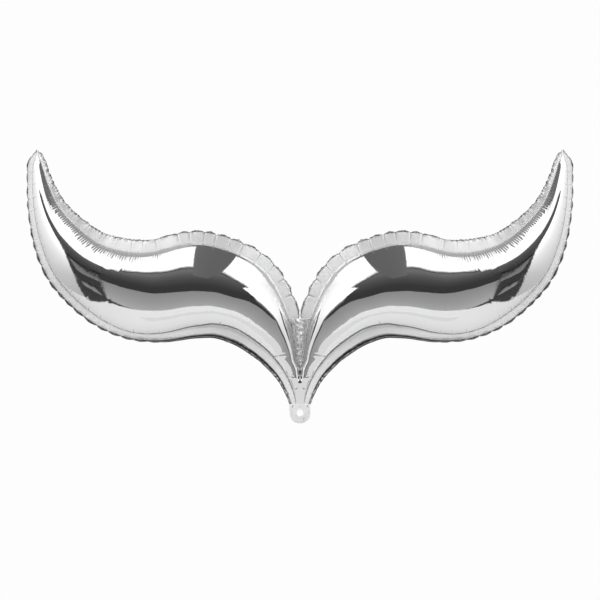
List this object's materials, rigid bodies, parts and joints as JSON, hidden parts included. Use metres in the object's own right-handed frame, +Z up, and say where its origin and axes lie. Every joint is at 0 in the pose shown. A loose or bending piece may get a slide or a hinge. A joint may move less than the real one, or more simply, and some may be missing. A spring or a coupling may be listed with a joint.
{
  "type": "mermaid tail foil balloon",
  "caption": "Silver foil balloon shaped as a mermaid's tail fluke, with curved air chambers, a puckered heat-sealed border and a tail tab with a ribbon hole.",
  "frame": {"origin": "centre of the ribbon hole in the tail tab, on the mid-plane between the two films", "axes": "+X along the spread of the fluke, towards the right chamber seen from the front; +Y from the front film to the back film; +Z up from the tab to the tips"},
  "size_m": [0.602, 0.091, 0.3001],
  "materials": {
    "film": "mirror-bright metallised film, taut over the air",
    "seal": "satin metallised laminate, puckered by the heat seal",
    "tab": "satin metallised laminate, flat with faint seal marks"
  },
  "bodies": {
    "root": {"front_film": "film", "back_film": "film", "left_upper_seal": "seal", "left_lower_seal": "seal", "right_upper_seal": "seal", "right_lower_seal": "seal", "centre_weld": "seal", "tail_tab": "tab"}
  },
  "joints": []
}
